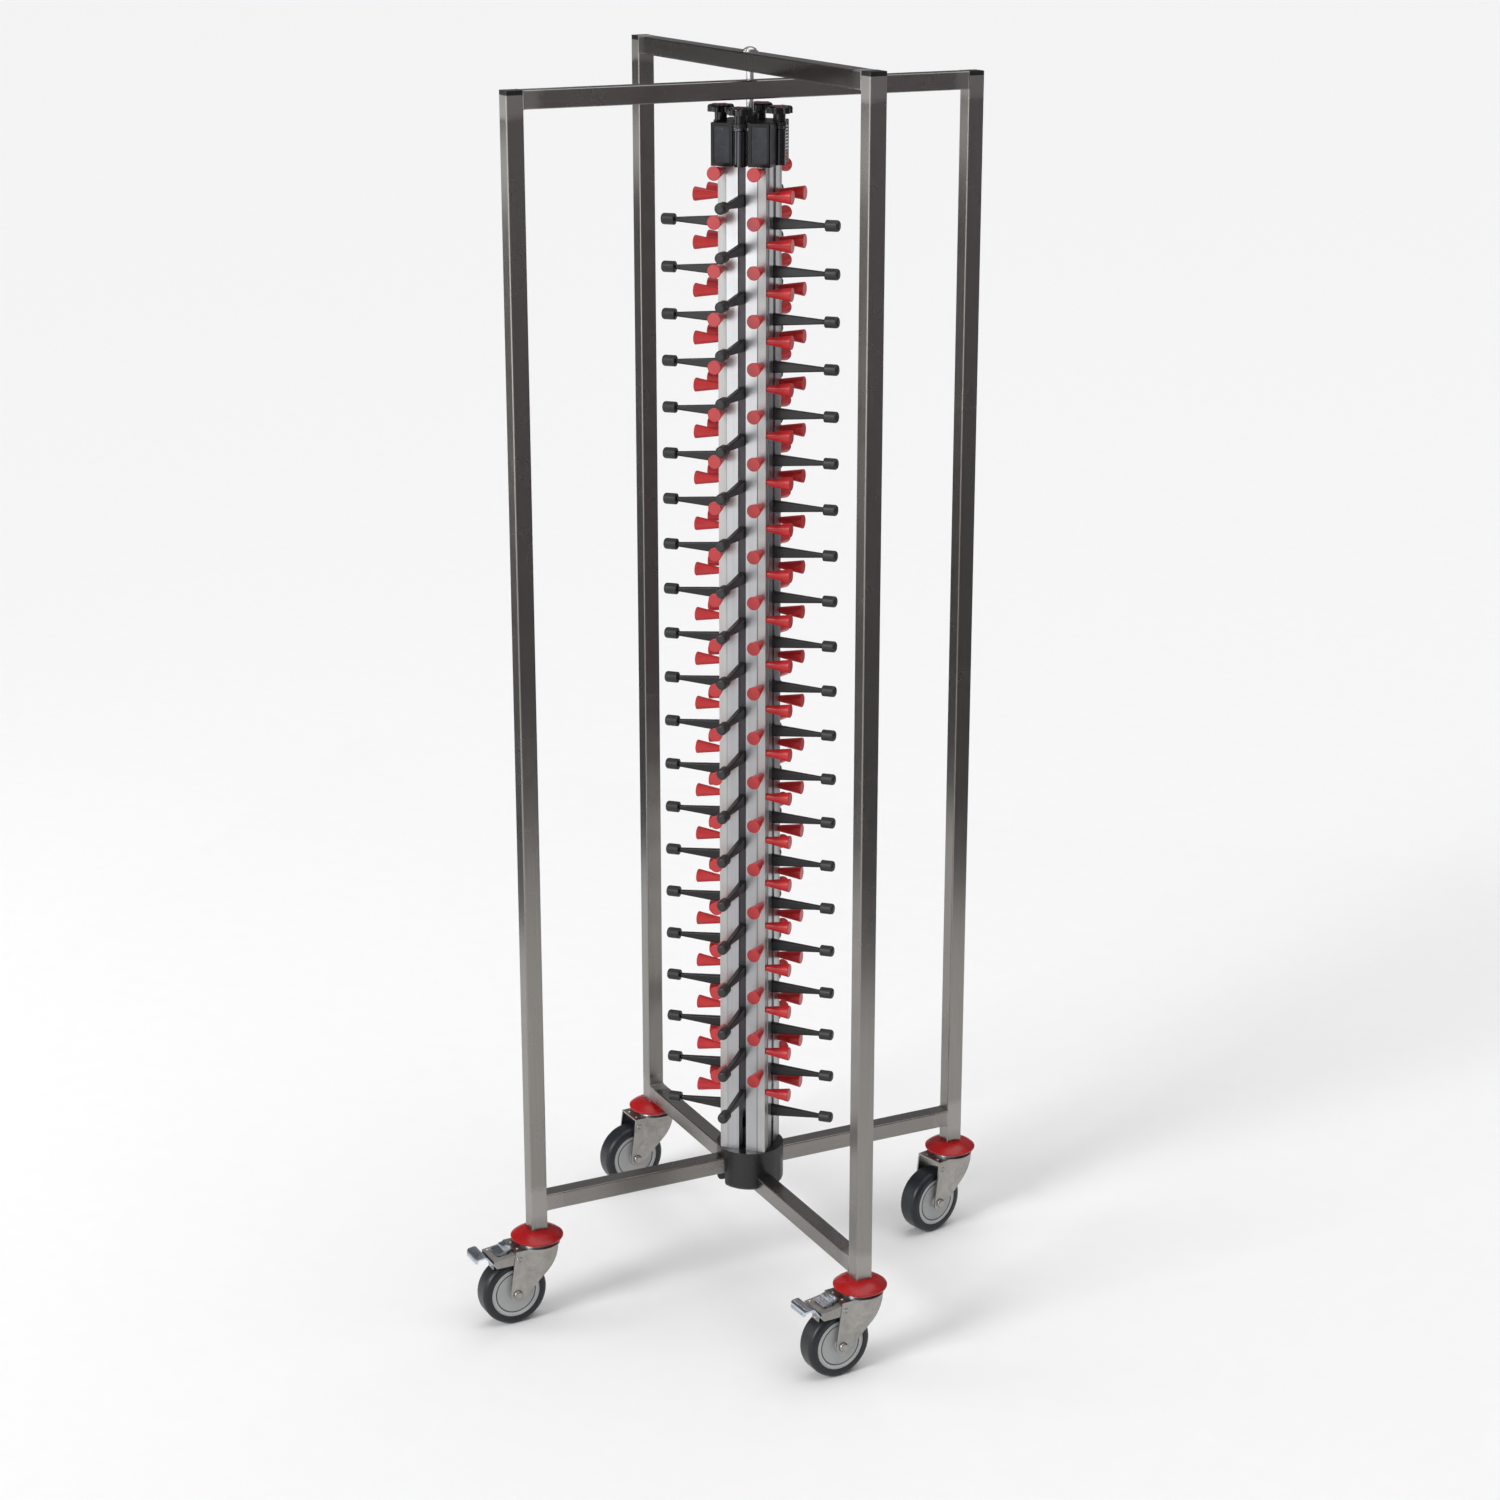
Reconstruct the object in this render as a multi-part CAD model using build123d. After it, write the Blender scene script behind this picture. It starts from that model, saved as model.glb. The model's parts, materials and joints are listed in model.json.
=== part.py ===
"""Plate trolley: two crossed tube portals on four casters carry a four-sided plate column.

Millimetres. +Z is up, the floor is z = 0 and the column's axis is the Z axis.
The front station looks along -Y. The portals cross on the diagonals of the plan.
"""
from build123d import *
import math
import os

# Overall sizes
TOTAL_HEIGHT = 1812.0
UPRIGHT_SPACING = 494.0

# Square tube of the two portals
TUBE = 25.0
TUBE_WALL = 1.5
TUBE_CORNER = 2.0
TUBE_INNER_CORNER = 0.5
PORTAL_GAP = 12.5
BEAM_ABOVE_BUMPER = 3.0
CAP_HEAD = 6.0
CAP_PLUG = 14.0
PLUG_CLEARANCE = 0.1

# Tie rod through the column
ROD_DIAMETER = 10.0
ROD_CLEARANCE = 0.2
WASHER_RADIUS = 11.0
WASHER_THICKNESS = 1.5
NUT_ACROSS_FLATS = 17.0
NUT_HEIGHT = 8.0
DOME_RADIUS = 9.0
DOME_RIM = 2.0
DOME_RISE = 3.5
ROD_IN_DOME = 3.0

# Casters
WHEEL_DIAMETER = 100.0
TYRE_WIDTH = 34.0
TYRE_SHOULDER = 8.0
TYRE_SIDE_FLAT = 1.0
HUB_DIAMETER = 76.0
HUB_WIDTH = 31.0
HUB_RING_WIDTH = 4.0
HUB_RING_DEPTH = 1.5
HUB_BOSS_RADIUS = 9.0
BOSS_GAP = 0.5
AXLE_DIAMETER = 10.0
AXLE_HEAD_RADIUS = 7.0
AXLE_HEAD_HEIGHT = 4.0
AXLE_HEAD_ROUND = 3.2
RUNNING_FIT = 0.05
CASTER_TRAIL = 42.0
LEG_GAP = 4.5
SHEET = 2.5
CROWN_ABOVE_WHEEL = 16.0
CROWN_RADIUS = 33.5
CROWN_REACH = 44.0
LEG_SWEEP_RADIUS = 56.0
LEG_SWEEP_DEGREES = 70.0
LEG_FOOT_RADIUS = 11.5
SWIVEL_GAP = 0.3
RACE_RADIUS = 28.0
RACE_THICKNESS = 6.0
KING_PIN_DIAMETER = 10.0
KING_PIN_HEAD_RADIUS = 9.0
KING_PIN_HEAD = 4.0
STEM_LENGTH = 42.0

# Bumper discs
BUMPER_DIAMETER = 77.0
BUMPER_RIM = 4.0
BUMPER_HEIGHT = 15.0
BUMPER_CROWN = 2.5

# Brake on the front casters
BRAKE_REACH = 34.0
BRAKE_OVERLAP = 12.0
BRAKE_DROP = 1.5
BRAKE_SLOPE_DROP = 4.0
BRAKE_WALL = 16.0
BRAKE_NOSE = 7.0
BRAKE_NOSE_EDGE = 5.5
BRAKE_SHEET = 1.6
BRAKE_LEG_GAP = 1.2
WINDOW_BACK = 8.0
WINDOW_FRONT = 6.5
WINDOW_SIDE = 1.0
SHOE_BAR = 4.0
SHOE_BAR_BACK = 8.0
SHOE_WIDTH = 17.0
SHOE_DROP = 8.0
PEDAL_WIDTH = 42.0
PEDAL_SHEET = 2.4
PEDAL_ROOT = 20.0
PEDAL_CREST = 29.5
PEDAL_SHOULDER = 42.0
PEDAL_REACH = 45.0
PEDAL_RISE = 13.0
PEDAL_SHOULDER_DROP = 1.5
PEDAL_TIP_DROP = 7.5
PEDAL_BEND = 5.0
PEDAL_CORNER = 7.0
PEDAL_ABOVE_PIVOT = 2.0
RELEASE_WIDTH = 26.0
RELEASE_STEM = 10.0
RELEASE_FRONT = 9.0
RELEASE_LIFT = 2.4
RELEASE_BACK = 14.0
RELEASE_FOLD = 2.5
RELEASE_SHEET = 2.8
RELEASE_HEIGHT = 19.5
PIVOT_FROM_CROWN = 16.0
PIVOT_DROP = 10.5
PIVOT_PIN_DIAMETER = 4.0
PIVOT_BARREL_RADIUS = 4.0

# Foot hub under the column
FOOT_HUB_DIAMETER = 100.0
FOOT_HUB_DROP = 22.0
FOOT_HUB_COVER = 14.0
FOOT_HUB_ROUND = 8.0

# Column profiles
COLUMN_WIDTH = 71.0
SLOT_WIDTH = 11.0
PROFILE_WALL = 3.5
PROFILE_STEP = 0.8
PIN_STRIPE = 13.0
CHANNEL_DEPTH = 11.5
CHANNEL_WIDTH = 18.0
WEB = 2.5
REAR_FLANGE = 2.0
SPIDER_HEIGHT = 30.0
SPIDER_COUNT = 5

# Rows of plate grips
ROW_PITCH = 66.0
FIRST_ROW_DROP = 7.0
ARM_DROP = 39.7
RAIL_TRAVEL = 30.0
RAIL_END = 18.0
RAIL_STOP = 3.0

# Red pins
PIN_OFFSET = 28.5
PIN_LENGTH = 36.0
PIN_ROOT_DIAMETER = 9.0
PIN_TIP_DIAMETER = 20.0
PIN_EDGE = 1.0

# Rails and arms
RAIL_CLEARANCE = 0.3
RAIL_RECESS = 1.0
ARM_ROOT_HEIGHT = 17.0
ARM_ROOT_WIDTH = 9.0
ARM_NECK = 6.0
ARM_REACH = 74.7
CAP_DIAMETER = 16.0
CAP_LENGTH = 20.0
CAP_INNER_ROUND = 1.5
CAP_OUTER_ROUND = 4.0

# Head of the column
HOUSING_HEIGHT = 58.0
HOUSING_WALL = 7.0
HEAD_COVER = 6.0
HOUSING_GAP = 23.0
HOUSING_CORNER = 2.0
PANEL_DEPTH = 1.0
PANEL_BORDER = 4.5
HEAD_CLEARANCE = 0.2
HEAD_BOSS_RADIUS = 12.0
HEAD_BOSS_HEIGHT = 10.0
SPINDLE_OFFSET = 42.0
SPINDLE_DIAMETER = 8.0
SPINDLE_COLLAR_RADIUS = 6.5
SPINDLE_COLLAR = 3.0
SPINDLE_IN_KNOB = 10.0
NUT_BLOCK_DIAMETER = 17.0
BLOCK_BELOW_COLLAR = 1.0
HEAD_LUG_RADIUS = 10.0
KNOB_BELOW_BEAM = 8.0
KNOB_DIAMETER = 37.0
KNOB_HEAD = 10.0
KNOB_HUB_DIAMETER = 17.0
KNOB_HUB = 11.0
KNOB_LOBES = 6
KNOB_LOBE_RADIUS = 6.0
KNOB_ROUND = 4.0

# Plan of the four uprights: sign of x and y, which portal, and how the caster lies in degrees
CORNERS = {
    "front_left": (-1, -1, "inner", 226.0),
    "front_right": (1, -1, "outer", 229.0),
    "back_left": (-1, 1, "outer", 228.0),
    "back_right": (1, 1, "inner", 239.0),
}
BRAKED = ("front_left", "front_right")
STATIONS = {"front": 0.0, "right": 90.0, "back": 180.0, "left": 270.0}
BEAM_TURN = {"outer": -45.0, "inner": 45.0}

# Heights from the floor up to the column's foot
axle_z = WHEEL_DIAMETER / 2
crown_bottom = WHEEL_DIAMETER + CROWN_ABOVE_WHEEL
crown_top = crown_bottom + SHEET
race_bottom = crown_top + SWIVEL_GAP
race_top = race_bottom + RACE_THICKNESS
bumper_top = race_top + BUMPER_HEIGHT
low_beam = {"outer": bumper_top + BEAM_ABOVE_BUMPER}
low_beam["inner"] = low_beam["outer"] + TUBE
foot_hub_bottom = low_beam["inner"] - FOOT_HUB_DROP
foot_hub_top = low_beam["inner"] + TUBE + FOOT_HUB_COVER

# Heights from the top down to the column's head
portal_top = {"outer": TOTAL_HEIGHT, "inner": TOTAL_HEIGHT - TUBE - PORTAL_GAP}
knob_top = portal_top["inner"] - TUBE - KNOB_BELOW_BEAM
knob_head_bottom = knob_top - KNOB_HEAD
knob_bottom = knob_head_bottom - KNOB_HUB
housing_top = knob_bottom - SWIVEL_GAP
housing_bottom = housing_top - HOUSING_HEIGHT
column_bottom = foot_hub_top
column_top = housing_top - HEAD_COVER
collar_top = column_top - SWIVEL_GAP
nut_block_top = collar_top - SPINDLE_COLLAR - BLOCK_BELOW_COLLAR

# Plan sizes that follow from the driving sizes
portal_radius = UPRIGHT_SPACING / math.sqrt(2)
half_column = COLUMN_WIDTH / 2
half_slot = SLOT_WIDTH / 2
pin_face = half_column - PROFILE_STEP
rail_front = half_column - RAIL_RECESS
channel_front = half_column - PROFILE_WALL
channel_back = channel_front - CHANNEL_DEPTH
core_face = channel_back - REAR_FLANGE
leg_inside = TYRE_WIDTH / 2 + LEG_GAP
leg_outside = leg_inside + SHEET
brake_top = crown_bottom - BRAKE_DROP
leg_back = math.sqrt(CROWN_RADIUS ** 2 - leg_outside ** 2)
plug_side = TUBE - 2 * TUBE_WALL - 2 * PLUG_CLEARANCE
rod_radius = ROD_DIAMETER / 2
rod_hole = rod_radius + ROD_CLEARANCE

# Rows: the side stations lie half a pitch lower than the front and back ones
stagger = ROW_PITCH / 2
first_row = housing_bottom - FIRST_ROW_DROP
lowest_row = column_bottom + ARM_DROP + RAIL_END + RAIL_TRAVEL + RAIL_STOP
rows = int((first_row - stagger - lowest_row) // ROW_PITCH) + 1


def row_heights(station):
    """Heights of the red pins of one station, from the top row down."""
    start = first_row if station in ("front", "back") else first_row - stagger
    return [start - ROW_PITCH * i for i in range(rows)]


def at_station(shape, station):
    """Turn a shape made for the front station to another side of the column."""
    return Rot(0, 0, STATIONS[station]) * shape


def at_corner(shape, corner):
    """Move a shape made on the Z axis to one upright."""
    x, y, portal, turn = CORNERS[corner]
    return Pos(x * UPRIGHT_SPACING / 2, y * UPRIGHT_SPACING / 2, 0) * shape


def at_caster(shape, corner):
    """Move a caster piece, made trailing along +X, to its upright and its lie."""
    return at_corner(Rot(0, 0, CORNERS[corner][3]) * shape, corner)


def outwards(shape):
    """Lay a shape made along +Z so that it points out of the front station."""
    return Rot(90, 0, 0) * shape


def disc(radius, low, high, x=0.0, y=0.0):
    """Upright cylinder between two heights."""
    return Pos(x, y, (low + high) / 2) * Cylinder(radius, high - low)


def block(x0, x1, y0, y1, z0, z1):
    """Box from its limits along the three axes."""
    centre = Pos((x0 + x1) / 2, (y0 + y1) / 2, (z0 + z1) / 2)
    return centre * Box(x1 - x0, y1 - y0, z1 - z0)


def tube_section():
    inside = TUBE - 2 * TUBE_WALL
    outline = RectangleRounded(TUBE, TUBE, TUBE_CORNER)
    return outline - RectangleRounded(inside, inside, TUBE_INNER_CORNER)


def tube_plug(length):
    """Square plug that fits inside the tube, standing on z = 0."""
    return extrude(RectangleRounded(plug_side, plug_side, TUBE_INNER_CORNER), length)


# Portals

def upright(corner):
    top = portal_top[CORNERS[corner][2]] - CAP_HEAD
    tube = Pos(0, 0, race_top) * extrude(tube_section(), top - race_top)
    return at_corner(Rot(0, 0, 45) * tube, corner)


def beam(portal, underside):
    length = 2 * portal_radius - TUBE
    lying = Rot(0, 90, 0) * extrude(tube_section(), length)
    lying = Pos(-length / 2, 0, underside + TUBE / 2) * lying
    lying -= disc(rod_hole, underside - 1, underside + TUBE + 1)
    return Rot(0, 0, BEAM_TURN[portal]) * lying


def end_cap(corner):
    top = portal_top[CORNERS[corner][2]]
    head = Pos(0, 0, top - CAP_HEAD) * extrude(RectangleRounded(TUBE, TUBE, TUBE_CORNER), CAP_HEAD)
    plug = Pos(0, 0, top - CAP_HEAD - CAP_PLUG) * tube_plug(CAP_PLUG)
    return at_corner(Rot(0, 0, 45) * (head + plug), corner)


def bumper(corner):
    rim = BUMPER_DIAMETER / 2
    shoulder = race_top + BUMPER_RIM
    top_radius = TUBE / 2
    middle = ((rim + top_radius) / 2, (shoulder + bumper_top) / 2 + BUMPER_CROWN)
    edge = (rim - BUMPER_RIM / 2, race_top)
    outline = Line((0, race_top), edge)
    outline += ThreePointArc(edge, (rim, race_top + BUMPER_RIM / 2), (rim, shoulder))
    outline += ThreePointArc((rim, shoulder), middle, (top_radius, bumper_top))
    outline += Polyline((top_radius, bumper_top), (0, bumper_top), (0, race_top))
    dome = revolve(Plane.XZ * make_face(outline), Axis.Z)
    hole_side = TUBE + 2 * PLUG_CLEARANCE
    hole = extrude(RectangleRounded(hole_side, hole_side, TUBE_CORNER), BUMPER_HEIGHT + 2)
    hole = Pos(0, 0, race_top - 1) * hole
    return at_corner(dome - Rot(0, 0, 45) * hole, corner)


def tie_rod():
    low = low_beam["outer"] - WASHER_THICKNESS - NUT_HEIGHT - ROD_IN_DOME
    return disc(rod_radius, low, TOTAL_HEIGHT + WASHER_THICKNESS + ROD_IN_DOME)


def rod_fasteners():
    """Washer and nut below the lower beam, washer and dome nut on the upper beam."""
    under = low_beam["outer"]
    hexagon = RegularPolygon(NUT_ACROSS_FLATS / 2, 6, major_radius=False)
    bore = Circle(rod_hole)
    low_washer = Pos(0, 0, under - WASHER_THICKNESS) * extrude(Circle(WASHER_RADIUS) - bore, WASHER_THICKNESS)
    low_nut = Pos(0, 0, under - WASHER_THICKNESS - NUT_HEIGHT) * extrude(hexagon - bore, NUT_HEIGHT)
    top_washer = Pos(0, 0, TOTAL_HEIGHT) * extrude(Circle(WASHER_RADIUS) - bore, WASHER_THICKNESS)
    seat = TOTAL_HEIGHT + WASHER_THICKNESS
    rim = seat + DOME_RIM
    crest = rim + DOME_RISE
    sphere = (DOME_RADIUS ** 2 + DOME_RISE ** 2) / (2 * DOME_RISE)
    lean = math.asin(DOME_RADIUS / sphere) / 2
    shoulder = (sphere * math.sin(lean), crest - sphere + sphere * math.cos(lean))
    outline = Polyline((0, crest), (0, seat), (DOME_RADIUS, seat), (DOME_RADIUS, rim))
    outline += ThreePointArc((DOME_RADIUS, rim), shoulder, (0, crest))
    dome = revolve(Plane.XZ * make_face(outline), Axis.Z)
    dome -= disc(rod_hole, seat - 1, seat + ROD_IN_DOME + ROD_CLEARANCE)
    return [low_washer, low_nut, top_washer, dome]


def foot_hub():
    hub = disc(FOOT_HUB_DIAMETER / 2, foot_hub_bottom, foot_hub_top)
    hub = fillet(hub.edges().group_by(Axis.Z)[0], FOOT_HUB_ROUND)
    reach = FOOT_HUB_DIAMETER
    for portal in ("outer", "inner"):
        roof = low_beam[portal] + TUBE
        channel = block(-reach, reach, -TUBE / 2, TUBE / 2, foot_hub_bottom - 1, roof)
        hub -= Rot(0, 0, BEAM_TURN[portal]) * channel
    return hub - disc(rod_hole, foot_hub_bottom, foot_hub_top + 1)


# Casters, made on the Z axis and trailing along +X

def caster_stem():
    """Upper race, square stem in the upright and king pin through the fork."""
    stem = disc(RACE_RADIUS, race_bottom, race_top)
    stem += Rot(0, 0, 45) * Pos(0, 0, race_top) * tube_plug(STEM_LENGTH)
    head_top = crown_bottom - SWIVEL_GAP
    stem += disc(KING_PIN_DIAMETER / 2, head_top, race_bottom)
    stem += disc(KING_PIN_HEAD_RADIUS, head_top - KING_PIN_HEAD, head_top)
    return stem


def leg_outline():
    top = Line((-leg_back, crown_top), (CROWN_REACH, crown_top))
    sweep = CenterArc((LEG_SWEEP_RADIUS - leg_back, crown_top), LEG_SWEEP_RADIUS, 180, LEG_SWEEP_DEGREES)
    foot = CenterArc((CASTER_TRAIL, axle_z), LEG_FOOT_RADIUS, 0, 360)
    return make_hull([top, sweep, foot])


def fork():
    crown = Circle(CROWN_RADIUS) + Pos(CROWN_REACH / 2, 0) * Rectangle(CROWN_REACH, 2 * leg_outside)
    body = Pos(0, 0, crown_bottom) * extrude(crown, SHEET)
    for inner in (leg_inside, -leg_outside):
        body += Pos(0, inner + SHEET, 0) * extrude(Plane.XZ * leg_outline(), SHEET)
    body -= disc(KING_PIN_DIAMETER / 2 + RUNNING_FIT, crown_bottom - 1, crown_top + 1)
    return body - axle_cylinder(AXLE_DIAMETER / 2 + RUNNING_FIT, -leg_outside - 1, leg_outside + 1)


def axle_cylinder(radius, y0, y1):
    """Cylinder on the wheel's axis between two places along it."""
    lying = Rot(90, 0, 0) * Cylinder(radius, y1 - y0)
    return Pos(CASTER_TRAIL, (y0 + y1) / 2, axle_z) * lying


def axle():
    bolt = axle_cylinder(AXLE_DIAMETER / 2, -leg_outside, leg_outside)
    reach = leg_outside + AXLE_HEAD_HEIGHT
    for y0, y1, outer in ((-reach, -leg_outside, 0), (leg_outside, reach, -1)):
        head = axle_cylinder(AXLE_HEAD_RADIUS, y0, y1)
        rims = head.edges().filter_by(GeomType.CIRCLE).sort_by(Axis.Y)
        bolt += fillet(rims[outer], AXLE_HEAD_ROUND)
    return bolt


def spun_on_axle(outline):
    """Turn an outline of (radius, distance along the axle) points about the wheel's axis."""
    section = Plane.XY * make_face(Polyline(*[(r, y) for r, y in outline], close=True))
    return Pos(CASTER_TRAIL, 0, axle_z) * revolve(section, Axis.Y)


def wheel_hub():
    half = HUB_WIDTH / 2
    boss = leg_inside - BOSS_GAP
    rim = HUB_DIAMETER / 2
    bore = AXLE_DIAMETER / 2 + RUNNING_FIT
    ring_in = rim - 2 * HUB_RING_WIDTH
    one_side = [
        (bore, boss),
        (HUB_BOSS_RADIUS - HUB_RING_DEPTH, boss),
        (HUB_BOSS_RADIUS, half),
        (ring_in, half),
        (ring_in, half - HUB_RING_DEPTH),
        (ring_in + HUB_RING_DEPTH, half - HUB_RING_DEPTH),
        (ring_in + HUB_RING_DEPTH, half),
        (rim, half),
    ]
    return spun_on_axle(one_side + [(r, -y) for r, y in reversed(one_side)])


def tyre():
    outer = WHEEL_DIAMETER / 2
    inner = HUB_DIAMETER / 2
    section = Pos((outer + inner) / 2, 0) * Rectangle(outer - inner, TYRE_WIDTH)
    shoulder = min(TYRE_SHOULDER, outer - inner - TYRE_SIDE_FLAT)
    section = fillet(section.vertices().sort_by(Axis.X)[2:], shoulder)
    return Pos(CASTER_TRAIL, 0, axle_z) * revolve(section, Axis.Y)


def pedal_pivot():
    """Place of the pedal's pivot in the caster's own plan, as x and z."""
    return CROWN_REACH + PIVOT_FROM_CROWN, brake_top - PIVOT_DROP


def brake_roof(x):
    """Height of the brake cover's roof at a place ahead of the crown."""
    return brake_top - BRAKE_SLOPE_DROP * (x - CROWN_REACH) / BRAKE_REACH


def brake_housing():
    """Sheet cover held between the legs and as wide as the fork ahead of them, with pivot pin and shoe."""
    start = CROWN_REACH - BRAKE_OVERLAP
    end = CROWN_REACH + BRAKE_REACH
    wide_from = CROWN_REACH + BRAKE_LEG_GAP
    deep = brake_top - BRAKE_WALL
    lean = (CASTER_TRAIL + LEG_FOOT_RADIUS - CROWN_REACH) * (crown_top - deep) / (crown_top - axle_z)
    roof_line = [(start, brake_top), (CROWN_REACH, brake_top), (end, brake_roof(end))]
    under_line = [(px, pz - BRAKE_SHEET) for px, pz in reversed(roof_line)]
    roof = Plane.XZ * make_face(Polyline(*roof_line, *under_line, close=True))
    body = extrude(roof, leg_inside, both=True)
    ahead = block(wide_from, end, -leg_outside, leg_outside, deep, crown_top)
    body += extrude(roof, leg_outside, both=True) & ahead
    wall_line = [
        (wide_from, brake_roof(wide_from)),
        (end, brake_roof(end)),
        (end, brake_roof(end) - BRAKE_NOSE_EDGE),
        (end - BRAKE_NOSE, deep),
        (wide_from + lean, deep),
    ]
    wall = Plane.XZ * make_face(Polyline(*wall_line, close=True))
    for inner in (leg_outside - BRAKE_SHEET, -leg_outside):
        body += Pos(0, inner + BRAKE_SHEET, 0) * extrude(wall, BRAKE_SHEET)
    x, z = pedal_pivot()
    side = RELEASE_WIDTH / 2 + WINDOW_SIDE
    body -= block(x - WINDOW_BACK, x + WINDOW_FRONT, -side, side, z, crown_top)
    bar = end - SHOE_BAR_BACK
    body += block(bar, bar + SHOE_BAR, -leg_outside, leg_outside, deep, deep + SHOE_BAR - 1)
    half_shoe = SHOE_WIDTH / 2
    body += block(bar + SHOE_BAR - BRAKE_SHEET, bar + SHOE_BAR, -half_shoe, half_shoe, deep - SHOE_DROP, deep)
    return body + Pos(x, 0, z) * Rot(90, 0, 0) * Cylinder(PIVOT_PIN_DIAMETER / 2, 2 * leg_outside)


def brake_pedal():
    """Foot plate that comes out under the cover and curls over, with a release tab up through the window."""
    x, z = pedal_pivot()
    middle = z + PEDAL_ABOVE_PIVOT
    root = (x + PEDAL_ROOT, middle)
    crest = (x + PEDAL_CREST, middle + PEDAL_RISE)
    shoulder = (x + PEDAL_SHOULDER, middle + PEDAL_RISE - PEDAL_SHOULDER_DROP)
    tip = (x + PEDAL_REACH - PEDAL_SHEET / 2, middle + PEDAL_RISE - PEDAL_TIP_DROP)
    path = FilletPolyline((x, middle), root, crest, shoulder, tip, radius=PEDAL_BEND)
    pedal = extrude(Plane.XZ * trace(path, PEDAL_SHEET), PEDAL_WIDTH / 2, both=True)
    plan = RectangleRounded(2 * PEDAL_REACH, PEDAL_WIDTH, PEDAL_CORNER)
    pedal &= Pos(x, 0, z - PEDAL_REACH / 2) * extrude(plan, PEDAL_REACH)
    half_stem = RELEASE_STEM / 2
    roof = brake_roof(x + RELEASE_FRONT) + RELEASE_LIFT
    crown = z + RELEASE_HEIGHT
    tab_line = [
        (x + half_stem - 1, middle),
        (x + half_stem - 1, roof),
        (x + RELEASE_FRONT, roof),
        (x + RELEASE_FRONT, roof + RELEASE_SHEET / 2),
        (x - half_stem / 2, crown - 2 * RELEASE_FOLD),
        (x - half_stem / 2 - 1, crown - RELEASE_FOLD),
        (x - RELEASE_BACK, crown),
        (x - RELEASE_BACK, crown - RELEASE_SHEET),
        (x - half_stem - 1, roof + RELEASE_SHEET),
        (x - half_stem - 1, middle),
    ]
    tab = Plane.XZ * make_face(Polyline(*tab_line, close=True))
    pedal += extrude(tab, RELEASE_WIDTH / 2, both=True)
    pedal += Pos(x, 0, z) * Rot(90, 0, 0) * Cylinder(PIVOT_BARREL_RADIUS, PEDAL_WIDTH)
    bore = PIVOT_PIN_DIAMETER / 2 + RUNNING_FIT
    return pedal - Pos(x, 0, z) * Rot(90, 0, 0) * Cylinder(bore, 2 * PEDAL_WIDTH)


# Column

def profile_section():
    """One corner extrusion in the +X +Y quarter: two faces, two rail channels and a tie web."""
    channel_side = CHANNEL_WIDTH / 2
    stripe = half_column - PIN_STRIPE

    def wall(x0, x1, y0, y1):
        return Pos((x0 + x1) / 2, (y0 + y1) / 2) * Rectangle(x1 - x0, y1 - y0)

    half_shape = wall(half_slot, half_column, channel_front, half_column)
    half_shape += wall(channel_side, channel_side + WEB, core_face, channel_front)
    half_shape += wall(half_slot, channel_side, core_face, channel_back)
    shape = half_shape + mirror(half_shape, Plane(origin=(0, 0, 0), z_dir=(1, -1, 0)))
    web = Polyline(
        (channel_side, core_face),
        (channel_side + WEB, channel_back),
        (channel_back, channel_side + WEB),
        (core_face, channel_side),
        close=True,
    )
    shape += make_face(web)
    shape -= wall(stripe, half_column + 1, pin_face, half_column + 1)
    return shape - wall(pin_face, half_column + 1, stripe, half_column + 1)


def profile(quarter):
    body = Pos(0, 0, column_bottom) * extrude(profile_section(), column_top - column_bottom)
    return Rot(0, 0, 90 * quarter) * body


def spider(low):
    """Core block that keys the four profiles to the tie rod."""
    channel_side = CHANNEL_WIDTH / 2
    outline = Rectangle(2 * core_face, 2 * core_face)
    outline = chamfer(outline.vertices(), core_face - channel_side)
    return Pos(0, 0, low) * extrude(outline - Circle(rod_hole), SPIDER_HEIGHT)


def spiders():
    span = column_top - column_bottom - SPIDER_HEIGHT
    return [spider(column_bottom + span * i / (SPIDER_COUNT - 1)) for i in range(SPIDER_COUNT)]


def red_pin():
    pin = Cone(PIN_ROOT_DIAMETER / 2, PIN_TIP_DIAMETER / 2, PIN_LENGTH)
    pin = fillet(pin.edges().sort_by(Axis.Z)[-1], PIN_EDGE)
    return outwards(Pos(0, 0, PIN_LENGTH / 2) * pin)


def red_pins(station):
    pin = red_pin()
    placed = []
    for z in row_heights(station):
        for side in (-1, 1):
            placed.append(at_station(Pos(side * PIN_OFFSET, -pin_face, z) * pin, station))
    return placed


def rail(station):
    """Bar in the channel behind the slot, with the nut block of the spindle at its head."""
    heights = row_heights(station)
    low = heights[-1] - ARM_DROP - RAIL_END
    block_radius = NUT_BLOCK_DIAMETER / 2
    side = CHANNEL_WIDTH / 2 - RAIL_CLEARANCE
    web_side = half_slot - RAIL_CLEARANCE
    front = -channel_front + RAIL_CLEARANCE
    bar = block(-side, side, front, -channel_back - RAIL_CLEARANCE, low, nut_block_top)
    bar += block(-web_side, web_side, -rail_front, front, low, nut_block_top)
    bar += block(-web_side, web_side, -SPINDLE_OFFSET, -rail_front, housing_bottom, nut_block_top)
    bar += disc(block_radius, housing_bottom, nut_block_top, 0, -SPINDLE_OFFSET)
    bar -= disc(SPINDLE_DIAMETER / 2 + RUNNING_FIT, housing_bottom - 1, nut_block_top + 1, 0, -SPINDLE_OFFSET)
    return at_station(bar, station)


def arm():
    root = Plane((0, -rail_front, 0), x_dir=(1, 0, 0), z_dir=(0, -1, 0))
    neck = Plane((0, -rail_front - ARM_REACH, 0), x_dir=(1, 0, 0), z_dir=(0, -1, 0))
    return loft([root * Rectangle(ARM_ROOT_WIDTH, ARM_ROOT_HEIGHT), neck * Rectangle(ARM_NECK, ARM_NECK)])


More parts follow.
